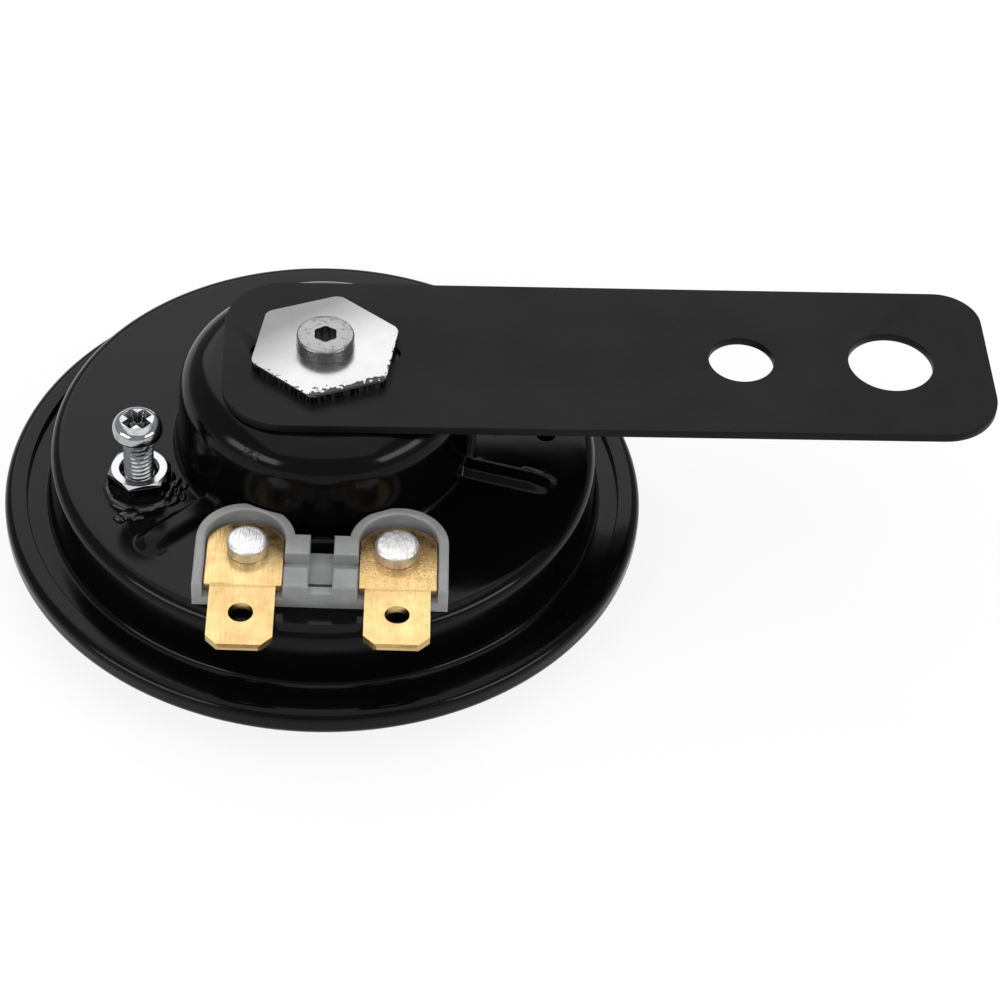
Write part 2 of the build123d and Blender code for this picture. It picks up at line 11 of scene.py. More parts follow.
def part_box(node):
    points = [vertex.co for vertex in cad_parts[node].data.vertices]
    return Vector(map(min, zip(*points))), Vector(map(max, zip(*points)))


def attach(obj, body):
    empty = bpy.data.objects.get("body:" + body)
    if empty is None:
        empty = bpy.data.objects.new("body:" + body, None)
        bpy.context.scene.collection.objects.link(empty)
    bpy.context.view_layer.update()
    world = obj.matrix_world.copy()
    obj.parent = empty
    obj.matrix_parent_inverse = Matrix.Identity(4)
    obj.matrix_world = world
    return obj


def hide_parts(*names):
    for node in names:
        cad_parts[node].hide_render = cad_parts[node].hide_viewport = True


bl_info = {
    "name": "Disc horn",
    "version": (1, 0, 0),
    "blender": (4, 5, 0),
    "location": "3D View > Sidebar > Horn",
    "description": "Builds the finished surfaces of a small electric disc horn",
    "category": "Object",
}

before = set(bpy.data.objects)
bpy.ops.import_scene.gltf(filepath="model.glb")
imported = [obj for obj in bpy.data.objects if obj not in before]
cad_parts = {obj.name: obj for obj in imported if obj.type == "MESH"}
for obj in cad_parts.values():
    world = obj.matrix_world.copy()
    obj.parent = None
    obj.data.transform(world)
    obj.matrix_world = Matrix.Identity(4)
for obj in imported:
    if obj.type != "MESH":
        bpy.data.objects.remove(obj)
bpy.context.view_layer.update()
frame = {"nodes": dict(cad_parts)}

MM = 0.001
UP = Vector((0, 0, 1))


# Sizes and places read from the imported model

def middle(node):
    """The centre of a CAD node's box, at the height of its lowest point."""
    low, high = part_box(node)
    return Vector(((low.x + high.x) / 2, (low.y + high.y) / 2, low.z))


RIM_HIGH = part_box("front_cover")[1]
STACK_LOW, STACK_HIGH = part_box("rear_housing")
STRIP_LOW, STRIP_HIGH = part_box("mounting_bracket")
CLAMP_LOW, CLAMP_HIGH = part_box("bracket_nut")
STUD_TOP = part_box("pole_core")[1].z
SCREW_LOW, SCREW_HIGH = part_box("adjusting_screw")
SCREW_PLACE = middle("adjusting_screw")
LOCK_LOW, LOCK_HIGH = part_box("adjuster_lock_nut")
SHOULDER_Z = LOCK_LOW.z
BOSS_Z = STRIP_LOW.z
RIM_R = RIM_HIGH.x


# Colours

def linear(hex_colour):
    """An sRGB hex value such as "#c8a064" as linear red, green, blue and alpha."""
    parts = [int(hex_colour[i : i + 2], 16) / 255 for i in (1, 3, 5)]
    light = [c / 12.92 if c <= 0.04045 else ((c + 0.055) / 1.055) ** 2.4 for c in parts]
    return (*light, 1.0)


# Settings that a user would change

def length(name, millimetres, description):
    """A length property, given in millimetres."""
    return FloatProperty(
        name=name, description=description, default=millimetres * MM, min=0.0, unit="LENGTH"
    )


def angle(name, degrees, description):
    """An angle property, given in degrees."""
    return FloatProperty(
        name=name, description=description, default=math.radians(degrees), subtype="ANGLE"
    )


def count(name, number, description):
    """A whole number of pieces or steps."""
    return IntProperty(name=name, description=description, default=number, min=1)


def colour(name, hex_colour, description):
    """A colour property, given as an sRGB hex value."""
    return StringProperty(name=name, description=description, default=hex_colour)


class HornHousing(PropertyGroup):
    """Sizes of the pressed housing and the rolled cover."""

    steps: count("Steps", 200, "Facets round the horn's axis")
    sheet: length("Housing sheet", 0.8, "Thickness of the housing's sheet")
    cover_sheet: length("Cover sheet", 0.6, "Thickness of the cover's sheet")
    flange_width: length("Flange", 4.7, "Width from the rim to the wall's foot")
    wall_lean: length("Wall lean", 0.3, "How far the wall leans in at its top")
    wall_foot: length("Wall foot", 0.7, "Rounding between flange and wall")
    shoulder_edge: length("Shoulder edge", 1.3, "Rounding between wall and shoulder")
    boss_radius: length("Boss", 14.3, "Radius of the boss at its top")
    boss_lean: length("Boss lean", 0.5, "How far the boss leans in at its top")
    boss_edge: length("Boss edge", 3.8, "Rounding of the boss's top edge")
    boss_foot: length("Boss foot", 0.8, "Rounding between shoulder and boss")
    rib_foot: length("Rib", 3.4, "Width of a rib at its foot")
    rib_crest: length("Rib crest", 1.1, "Width of a rib at its crest")
    rib_height: length("Rib height", 0.95, "Height of a rib above the shoulder")
    rib_inset: length("Rib inset", 2.9, "Distance from a rib's end to the wall")
    rib_run_out: length("Rib run-out", 3.2, "Length over which a rib's outer end falls away")
    rib_turn: angle("First rib", -17.0, "Direction of the first rib")
    vent_radius: length("Vent", 1.0, "Radius of the vent hole")
    vent_place: length("Vent place", 22.5, "Distance of the vent from the axis")
    lip: length("Lip", 2.3, "Width of the rolled lip on the flange")
    rim_edge: length("Rim edge", 1.0, "Rounding of the rolled rim")
    dish_edge: length("Dish edge", 1.2, "Rounding of the front cover's steps")
    slots: count("Sound slots", 16, "Slots in the front cover")
    slot_width: length("Slot width", 1.8, "Width of a sound slot")


class HornMetal(PropertyGroup):
    """Sizes of the bracket, the nuts, the core and the screw."""

    tail_corner: length("Inner corners", 6.0, "Corner radius at the bracket's inner end")
    end_corner: length("Outer corners", 4.5, "Corner radius at the bracket's outer end")
    worn_corner: length("Worn corner", 5.8, "Radius of the outer corner that is cut rounder")
    small_hole: length("Small hole", 3.25, "Radius of the inner bolt hole")
    small_place: length("Small hole's place", 41.3, "Distance of the inner hole from the axis")
    large_hole: length("Large hole", 4.25, "Radius of the outer bolt hole")
    large_place: length("Large hole's place", 56.3, "Distance of the outer hole from the axis")
    pip_hole: length("Locating hole", 1.3, "Radius of the two locating holes")
    pip_place: length("Locating hole's place", 6.1, "Distance of the locating holes from the axis")
    pip: length("Pip", 1.2, "Radius of the two locating pips")
    pip_height: length("Pip height", 0.5, "Height of the locating pips")
    nut_flats: length("Clamp nut", 13.4, "Width of the clamping nut across its flats")
    nut_corner: length("Clamp nut corner", 1.0, "Rounding of the clamping nut's corners")
    nut_turn: angle("Clamp nut turn", 20.0, "Direction of a corner of the clamping nut")
    stud: length("Stud", 2.85, "Radius of the core's stud")
    core: length("Core", 4.5, "Radius of the pole core")
    socket: length("Socket", 1.2, "Outer radius of the stud's six-lobe socket")
    socket_depth: length("Socket depth", 1.6, "Depth of the stud's socket")
    screw: length("Screw", 1.5, "Radius of the adjusting screw's thread")
    pitch: length("Pitch", 0.5, "Pitch of the adjusting screw's thread")
    head: length("Screw head", 2.45, "Radius of the adjusting screw's head")
    head_height: length("Head height", 2.0, "Height of the adjusting screw's head")
    lock_flats: length("Lock nut", 5.5, "Width of the lock nut across its flats")
    lock_turn: angle("Lock nut turn", 14.0, "Direction of a corner of the lock nut")


class HornTerminals(PropertyGroup):
    """Sizes of the terminals, their rivets and their block."""

    block_edge: length("Block edges", 0.12, "Rounding of the moulded block's edges")
    spade_edge: length("Terminal edges", 0.06, "Rounding of the brass terminals' edges")
    joggle: length("Joggle", 0.12, "How far a blade lies below its terminal's plate")
    joggle_place: length("Joggle's place", 7.42, "Distance of the joggle from the tip")
    rivet_height: length("Rivet head", 1.5, "Height of a rivet's head")
    rivet_edge: length("Rivet edge", 0.45, "Rounding of a rivet head's top edge")
    rivet_shank: length("Rivet shank", 1.4, "Radius of a rivet's shank")
    rivet_tail: length("Rivet tail", 2.0, "Radius of a rivet's set tail")
    rivet_tail_height: length("Rivet tail height", 0.8, "Height of a rivet's set tail")


class HornStage(PropertyGroup):
    """Camera, floor and lights."""

    azimuth: angle("Azimuth", -4.269, "Camera's turn about the horn, from the terminals' side")
    elevation: angle("Elevation", 43.87, "Camera's height above the horizon")
    roll: angle("Roll", 3.76, "Camera's turn about its own line of sight")
    distance: length("Distance", 309.475, "Camera's distance from the point that it looks at")
    focal: length("Focal length", 108.0, "Camera's focal length on a 36 mm sensor")
    aim_x: length("Aim", 18.129, "Point that the camera looks at, along the bracket")
    floor_glow: FloatProperty(
        name="Floor light", description="Share of the floor's own light in what is seen of it",
        default=0.86, min=0.0, max=1.0,
    )


class HornColours(PropertyGroup):
    """Colours of the finishes."""

    enamel: colour("Enamel", "#060607", "Gloss black enamel of the housing and the cover")
    bracket: colour("Bracket paint", "#0f0f0f", "Satin black paint of the bracket")
    zinc: colour("Zinc", "#b4b4b4", "Zinc plating of the clamping nut")
    # Painted shade: the back-left side of the clamping nut is painted this darker zinc, where less
    # light falls.
    zinc_painted_shade: colour("Hazed zinc", "#757575", "Duller plating at one side of the nut")
    core: colour("Core plating", "#868686", "Plating of the core's stud, dulled by handling")
    # Also used as painted shade in the adjusting screw's recess.
    corrosion_and_shade: colour("Corrosion", "#565655", "Corroded zinc at the clamping nut's edges")
    sheared: colour("Sheared steel", "#1c1c1c", "Dark lines where the nut's sides were sheared")
    bright: colour("Bright zinc", "#b2b3b6", "Bright plating of the adjusting screw")
    brass: colour("Brass", "#d4ba83", "Rolled brass of the terminals")
    tarnish: colour("Tarnish", "#a26d38", "Tarnished brass of the terminals")
    rivet: colour("Rivet aluminium", "#f6f4f3", "Aluminium of the rivets")
    rivet_dark: colour("Dull aluminium", "#a8a4a2", "Dull spots of the rivets")
    nylon: colour("Nylon", "#858687", "Grey nylon of the terminal block")
    nylon_light: colour("Light nylon", "#949595", "Lighter clouds in the nylon")
    copper: colour("Copper", "#b4552d", "Enamelled copper of the winding")
    copper_painted_shade: colour("Dark copper", "#4e2010", "Shaded wire between the winding's turns")
    steel: colour("Steel", "#8f9092", "Plain steel of the inner pieces")
    spring: colour("Spring steel", "#7c8088", "Blued spring steel of the diaphragm")
    laminate: colour("Laminate", "#6b4526", "Brown pressed laminate of the insulators")
    laminate_dark: colour("Dark laminate", "#4a2f1a", "Darker clouds in the laminate")
    fibre: colour("Fibre", "#3b342b", "Pressed fibre of the gaskets")
    floor: colour("Floor", "#fafafa", "Colour of the floor")


# Materials

class Finish:
    """A material in the making: patterns in real sizes, on Object coordinates."""

    def __init__(self, name, hue, metallic, roughness=0.3):
        self.material = bpy.data.materials.new(name)
        self.material.use_nodes = True
        self.tree = self.material.node_tree
        self.shader = self.tree.nodes["Principled BSDF"]
        self.here = self.add("TexCoord", {}, "Object")
        self.surface(
            {"Base Color": self.colour(hue), "Metallic": metallic, "Roughness": roughness}
        )

    def add(self, kind, values, output=0):
        """Add a shader node with its settings and links, and return one of its outputs."""
        node = self.tree.nodes.new("ShaderNode" + kind)
        self.give(node, values)
        return node.outputs[output]

    def give(self, node, values):
        """Link an input, or set a property or an input to a plain value."""
        for key, value in values.items():
            if isinstance(value, bpy.types.NodeSocket):
                self.tree.links.new(value, node.inputs[key])
            elif isinstance(key, str) and hasattr(node, key):
                setattr(node, key, value)
            else:
                node.inputs[key].default_value = value

    def surface(self, values):
        """Give the surface its roughness or other qualities."""
        self.give(self.shader, values)

    def colour(self, hue):
        """One of the panel's colours as linear light."""
        return linear(getattr(bpy.context.scene.horn_colours, hue))

    def stain(self, pattern, hue):
        """Let one of the panel's colours cover the present one where a pattern is high."""
        present = self.shader.inputs["Base Color"]
        below = present.links[0].from_socket if present.links else tuple(present.default_value)
        above = self.colour(hue)
        mixed = self.add("Mix", {"data_type": "RGBA", 0: pattern, 6: below, 7: above}, 2)
        self.surface({"Base Color": mixed})

    def grains(self, grain, band, levels=(0.0, 1.0), detail=3.0, stretch=None, turn=0.0):
        """Noise of a given grain size, whose band becomes the given levels."""
        place = self.here
        if stretch:
            place = self.add(
                "Mapping", {"Rotation": (0, 0, turn), "Scale": stretch, "Vector": place}
            )
        noise = self.add("TexNoise", {"Scale": 1 / grain, "Detail": detail, "Vector": place})
        return self.add(
            "MapRange",
            {"From Min": band[0], "From Max": band[1], "To Min": levels[0], "To Max": levels[1],
             "Value": noise},
        )

    def near(self, point, reach):
        """One at a point of the surface, fading to nothing at the given distance."""
        away = self.add("VectorMath", {"operation": "DISTANCE", 0: self.here, 1: point}, "Value")
        return self.add("MapRange", {"From Min": reach, "From Max": reach * 0.4, "Value": away})

    def ramp(self, way, start, end, ragged=0.0):
        """Rises from nothing to one between two distances along a direction."""
        far = self.add("VectorMath", {"operation": "DOT_PRODUCT", 0: self.here, 1: way}, "Value")
        far = self.layers((far, 1.0), base=ragged)
        return self.add("MapRange", {"From Min": start, "From Max": end, "Value": far})

    def layers(self, *parts, base=0.0):
        """Patterns added up on a base, each with its share."""
        for pattern, share in parts:
            base = self.add("Math", {"operation": "MULTIPLY_ADD", 0: pattern, 1: share, 2: base})
        return base

    def higher(self, *patterns):
        """The highest of several patterns at each place."""
        top = 0.0
        for pattern in patterns:
            top = self.add("Math", {"operation": "MAXIMUM", 0: top, 1: pattern})
        return top

    def with_relief(self, heights, depth):
        """The finished material, with a pattern of heights as relief of a real depth."""
        self.surface({"Normal": self.add("Bump", {"Distance": depth, "Height": heights})})
        return self.material


# Mesh helpers

def round_corner(bm, vert, radius, segments):
    """Round one corner of a line with an arc of the given radius."""
    ways = [(edge.other_vert(vert).co - vert.co).normalized() for edge in vert.link_edges]
    turn = math.pi - ways[0].angle(ways[1])
    bmesh.ops.bevel(
        bm, geom=[vert], offset=radius * math.tan(turn / 2), offset_type="OFFSET",
        segments=segments, profile=0.5, affect="VERTICES", material=-1, clamp_overlap=False,
    )


def draw_line(bm, points, radii, closed=False, segments=8):
    """Straight edges through the points, with each corner rounded by its radius."""
    verts = [bm.verts.new(point) for point in points]
    ends = verts[1:] + verts[:1] if closed else verts[1:]
    for pair in zip(verts, ends):
        bm.edges.new(pair)
    for vert, radius in zip(verts if closed else verts[1:-1], radii):
        if radius:
            round_corner(bm, vert, radius, segments)


def draw_circle(bm, place, radius, segments=64):
    """A closed circle of edges in a level plane."""
    bmesh.ops.create_circle(
        bm, cap_ends=False, segments=segments, radius=radius, matrix=Matrix.Translation(place)
    )


def spin_all(bm, steps, place=(0, 0, 0)):
    """Spin the whole line round a vertical axis into a closed surface of revolution."""
    bmesh.ops.spin(
        bm, geom=bm.verts[:] + bm.edges[:], cent=place, axis=UP, angle=math.tau,
        steps=steps, use_merge=True, dvec=(0, 0, 0),
    )
    bmesh.ops.remove_doubles(bm, verts=bm.verts, dist=0.001 * MM)
    bmesh.ops.recalc_face_normals(bm, faces=bm.faces)


def turned(profile, radii, place=(0, 0, 0), steps=96, segments=8):
    """A turned form: pairs of distance and height, spun round the upright line at a place."""
    bm = bmesh.new()
    draw_line(
        bm, [(place[0] + r, place[1], z) for r, z in profile], radii, segments=segments
    )
    spin_all(bm, steps, place)
    return bm


def thicken(bm, thickness):
    """Give a surface its sheet thickness, away from the side that its normals point to."""
    bmesh.ops.solidify(bm, geom=bm.faces[:], thickness=thickness)
    bmesh.ops.recalc_face_normals(bm, faces=bm.faces)


def fill_plate(bm, thickness):
    """Fill the closed lines, inner ones as holes, and raise the face to a plate."""
    filled = bmesh.ops.triangle_fill(bm, use_beauty=True, use_dissolve=False, edges=bm.edges[:])
    faces = [item for item in filled["geom"] if isinstance(item, bmesh.types.BMFace)]
    raised = bmesh.ops.extrude_face_region(bm, geom=faces, use_keep_orig=True)
    verts = [item for item in raised["geom"] if isinstance(item, bmesh.types.BMVert)]
    bmesh.ops.translate(bm, verts=verts, vec=UP * thickness)
    bmesh.ops.recalc_face_normals(bm, faces=bm.faces)


def soften(bm, width, segments=2, least_angle=30.0, chosen=lambda edge: True):
    """Break the sharp edges that are chosen."""
    sharp = [
        edge for edge in bm.edges
        if len(edge.link_faces) == 2
        and edge.calc_face_angle() > math.radians(least_angle)
        and chosen(edge)
    ]
    bmesh.ops.bevel(
        bm, geom=sharp, offset=width, offset_type="OFFSET", segments=segments, profile=0.5,
        affect="EDGES", material=-1, clamp_overlap=True,
    )


def add_object(name, bm):
    """Turn a bmesh into an object of its own."""
    mesh = bpy.data.meshes.new(name)
    bm.to_mesh(mesh)
    bm.free()
    piece = bpy.data.objects.new(name, mesh)
    bpy.context.scene.collection.objects.link(piece)
    return piece


def bake(piece):
    """Apply a piece's modifiers to its mesh."""
    graph = bpy.context.evaluated_depsgraph_get()
    piece.data = bpy.data.meshes.new_from_object(piece.evaluated_get(graph))
    piece.modifiers.clear()


def melt(piece, fineness):
    """Let a piece's overlapping forms run together into one skin, once it is baked."""
    skin = piece.modifiers.new("one skin", "REMESH")
    skin.mode = "VOXEL"
    skin.voxel_size = fineness


def combine(piece, tool, operation="DIFFERENCE"):
    """Cut a piece with a tool, or join them, and remove the tool."""
    modifier = piece.modifiers.new("cut", "BOOLEAN")
    modifier.object = tool
    modifier.operation = operation
    modifier.solver = "EXACT"
    bake(piece)
    bpy.data.objects.remove(tool)


def settle(piece, material, node, smooth=35.0):
    """Shade a finished piece, give it its material and let it stand for its CAD node."""
    mesh = piece.data
    mesh.polygons.foreach_set("use_smooth", [True] * len(mesh.polygons))
    mesh.set_sharp_from_angle(angle=math.radians(smooth))
    even = piece.modifiers.new("flat faces stay flat", "WEIGHTED_NORMAL")
    even.keep_sharp = True
    bake(piece)
    mesh = piece.data
    mesh.materials.clear()
    mesh.materials.append(material)
    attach(piece, "housing")
    if node:
        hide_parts(node)
    return piece


def copy_node(node):
    """A merged copy of a CAD node's mesh, with its flat faces made whole."""
    bm = bmesh.new()
    bm.from_mesh(frame["nodes"][node].data)
    bmesh.ops.remove_doubles(bm, verts=bm.verts, dist=0.002 * MM)
    bmesh.ops.dissolve_limit(
        bm, angle_limit=math.radians(1.0), use_dissolve_boundaries=False,
        verts=bm.verts, edges=bm.edges,
    )
    return bm


def dress(node, material):
    """Give a CAD node's object a material."""
    slots = frame["nodes"][node].data.materials
    slots.clear()
    slots.append(material)


# Pieces

class HORN_OT_housing(Operator):
    """Press the rear housing: flange, wall, shoulder with its ribs, and boss"""

    bl_idname = "horn.housing"
    bl_label = "Rear housing"

    def execute(self, context):
        s = context.scene.horn_housing
        foot_r = RIM_R - s.flange_width
        wall_r = foot_r - s.wall_lean
        flange_z = STACK_LOW.z + s.sheet
        base_r = s.boss_radius + s.boss_lean
        stud_r = context.scene.horn_metal.stud + 0.1 * MM
        bm = bmesh.new()
        draw_line(
            bm,
            [
                (stud_r, 0, BOSS_Z), (s.boss_radius, 0, BOSS_Z), (base_r, 0, SHOULDER_Z),
                (wall_r, 0, SHOULDER_Z), (foot_r, 0, flange_z), (STACK_HIGH.x, 0, flange_z),
            ],
            [s.boss_edge, s.boss_foot, s.shoulder_edge, s.wall_foot],
            segments=12,
        )
        self.divide(bm, 0.4 * MM)
        spin_all(bm, s.steps)
        self.ribs(bm, s, base_r, wall_r)
        thicken(bm, s.sheet)
        soften(bm, 0.1 * MM, 2, 60.0)
        housing = add_object("housing_shell", bm)
        combine(housing, self.holes(context))
        combine(housing, self.pips(context.scene.horn_metal), "UNION")
        settle(housing, gloss_enamel(), "rear_housing", 50.0)
        return {"FINISHED"}

    def divide(self, bm, spacing):
        """Divide the long straight runs, so that the ribs can rise and the shading stays even."""
        for edge in bm.edges[:]:
            cuts = int(edge.calc_length() / spacing)
            if cuts:
                bmesh.ops.subdivide_edges(bm, edges=[edge], cuts=cuts)

    def ribs(self, bm, s, base_r, wall_r):
        """Raise the pressed ribs out of the shoulder, with finer facets under each."""
        fade = 1.5 * MM    # Height over which the rise dies away on the boss's foot
        half = s.rib_foot / 2
        start = base_r - half
        end = wall_r - s.rib_inset - half
        for index in range(3):
            turn = s.rib_turn + index * math.tau / 3
            along = Vector((math.cos(turn), math.sin(turn), 0))

            def reach(point):
                """Distance from the rib's middle line, in plan."""
                flat = Vector((point.x, point.y, 0))
                on_line = along * min(max(flat.dot(along), start), end)
                return (flat - on_line).length

            near = [
                edge for edge in bm.edges
                if all(reach(v.co) < half + 0.5 * MM
                       and -0.1 * MM < v.co.z - SHOULDER_Z < fade for v in edge.verts)
            ]
            bmesh.ops.subdivide_edges(bm, edges=near, cuts=3, use_grid_fill=True)
            for vert in bm.verts:
                height = vert.co.z - SHOULDER_Z
                if not -0.05 * MM <= height <= fade:
                    continue
                away = (reach(vert.co) - s.rib_crest / 2) / (half - s.rib_crest / 2)
                if away < 1:
                    slope = 1 - max(away, 0)
                    low = max(0.0, 1 - height / fade)
                    run_out = (end + half - along.dot(vert.co)) / s.rib_run_out
                    run_out = min(max(run_out, 0.0), 1.0)
                    rise = slope * slope * (3 - 2 * slope) * run_out ** 0.5
                    vert.co.z += s.rib_height * rise * low

    def holes(self, context):
        """One tool for the holes of the vent, the screw and the block's spigots."""
        s = context.scene.horn_housing
        bm = bmesh.new()
        for place, radius in (
            (Vector((s.vent_place, 0.8 * MM, 0)), s.vent_radius),
            (SCREW_PLACE, context.scene.horn_metal.screw),
            (middle("terminal_rivet_left"), 2.4 * MM),
            (middle("terminal_rivet_right"), 2.4 * MM),
        ):
            bmesh.ops.create_cone(
                bm, cap_ends=True, segments=48, radius1=radius, radius2=radius, depth=4 * MM,
                matrix=Matrix.Translation((place.x, place.y, SHOULDER_Z)),
            )
        return add_object("hole_tool", bm)

    def pips(self, s):
        """The two pips on the boss that keep the bracket from turning."""
        bm = bmesh.new()
        for side in (-1, 1):
            bmesh.ops.create_cone(
                bm, cap_ends=True, segments=48, radius1=s.pip, radius2=s.pip,
                depth=2 * s.pip_height,
                matrix=Matrix.Translation((side * s.pip_place, 0, BOSS_Z)),
            )
        return add_object("pip_tool", bm)


class HORN_OT_cover(Operator):
    """Roll the front cover: dished face with sound slots and its lip over the flange"""

    bl_idname = "horn.cover"
    bl_label = "Front cover"

    # The dished face from the rim inwards: distance from the axis and height, in millimetres
    dish = ((28.4, 3.6), (25.0, 0), (21.5, 0), (19.5, 1.2), (7.0, 1.2), (5.0, 0), (0, 0))

    def execute(self, context):
        s = context.scene.horn_housing
        top, foot = RIM_HIGH.z, self.dish[0][1] * MM
        rim = [(RIM_R - s.lip, top), (RIM_R, top), (RIM_R, foot)]
        bm = turned(
            rim + [(r * MM, z * MM) for r, z in self.dish],
            [s.rim_edge] * 2 + [s.dish_edge] * 6, steps=s.steps, segments=10,
        )
        thicken(bm, s.cover_sheet)
        soften(bm, 0.12 * MM, 2, 60.0)
        cover = add_object("cover_shell", bm)
        combine(cover, self.slots(s))
        settle(cover, gloss_enamel(), "front_cover", 50.0)
        return {"FINISHED"}

    def slots(self, s):
        """One tool for the ring of radial slots."""
        bm = bmesh.new()
        inner, outer, half = 8.4 * MM, 18.1 * MM, s.slot_width / 2
        for index in range(s.slots):
            turn = Matrix.Rotation(index * math.tau / s.slots, 3, UP)
            corners = ((inner, -half), (outer, -half), (outer, half), (inner, half))
            draw_line(
                bm, [turn @ Vector((x, y, -MM)) for x, y in corners], [half * 0.98] * 4, True, 6
            )
        fill_plate(bm, 4 * MM)
        return add_object("slot_tool", bm)


class HORN_OT_bracket(Operator):
    """Punch the mounting bracket with its bolt holes and locating holes"""

    bl_idname = "horn.bracket"
    bl_label = "Mounting bracket"

    def execute(self, context):
        s = context.scene.horn_metal
        bm = bmesh.new()
        z = STRIP_LOW.z
        draw_line(
            bm,
            [
                (STRIP_LOW.x, STRIP_LOW.y, z), (STRIP_HIGH.x, STRIP_LOW.y, z),
                (STRIP_HIGH.x, STRIP_HIGH.y, z), (STRIP_LOW.x, STRIP_HIGH.y, z),
            ],
            [s.tail_corner, s.worn_corner, s.end_corner, s.tail_corner],
            True, 16,
        )
        for x, radius in (
            (0, s.stud + 0.1 * MM), (s.pip_place, s.pip_hole), (-s.pip_place, s.pip_hole),
            (s.small_place, s.small_hole), (s.large_place, s.large_hole),
        ):
            draw_circle(bm, (x, 0, z), radius, 96)
        fill_plate(bm, STRIP_HIGH.z - z)
        soften(bm, 0.08 * MM, 2, 60.0)
        bracket = add_object("bracket_strip", bm)
        settle(bracket, satin_paint(), "mounting_bracket")
        return {"FINISHED"}


class HORN_OT_clamp(Operator):
    """Make the clamping nut and the pole core whose stud stands through it"""

    bl_idname = "horn.clamp"
    bl_label = "Clamping nut and core"

    def execute(self, context):
        s = context.scene.horn_metal
        self.nut(s)
        self.core(context, s)
        return {"FINISHED"}

    def nut(self, s):
        """The thin hexagonal nut, with its corners rounded."""
        bm = bmesh.new()
        z = CLAMP_LOW.z
        corner_r = s.nut_flats / math.sqrt(3)
        turns = [s.nut_turn + index * math.tau / 6 for index in range(6)]
        draw_line(
            bm, [(corner_r * math.cos(t), corner_r * math.sin(t), z) for t in turns],
            [s.nut_corner] * 6, True, 6,
        )
        draw_circle(bm, (0, 0, z), s.stud + 0.02 * MM)
        fill_plate(bm, CLAMP_HIGH.z - z)
        soften(bm, 0.1 * MM, 2, 60.0, lambda e: e.verts[0].co.to_2d().length > s.stud * 1.2)
        nut = add_object("clamp_nut", bm)
        settle(nut, zinc_nut(), "bracket_nut")

    def core(self, context, s):
        """The core with the stud on top of it, and the socket in the stud."""
        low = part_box("pole_core")[0].z
        seat = BOSS_Z - context.scene.horn_housing.sheet
        profile = (
            (0, low), (s.core, low), (s.core, seat), (s.stud, seat), (s.stud, STUD_TOP),
            (0, STUD_TOP),
        )
        core = add_object("core_stud", turned(profile, [0.2 * MM, 0, 0, 0.2 * MM], segments=3))
        combine(core, self.socket(s))
        settle(core, zinc_core(), "pole_core")

    def socket(self, s):
        """A six-lobed tool, sunk into the stud's end."""
        bm = bmesh.new()
        lobe = s.socket * 0.06
        bmesh.ops.create_circle(bm, cap_ends=False, segments=72, radius=s.socket - lobe)
        for vert in bm.verts:
            around = math.atan2(vert.co.y, vert.co.x)
            vert.co.xy *= 1 - lobe / s.socket * math.cos(6 * around)
        bmesh.ops.translate(bm, verts=bm.verts, vec=UP * (STUD_TOP - s.socket_depth))
        fill_plate(bm, s.socket_depth * 2)
        return add_object("socket_tool", bm)


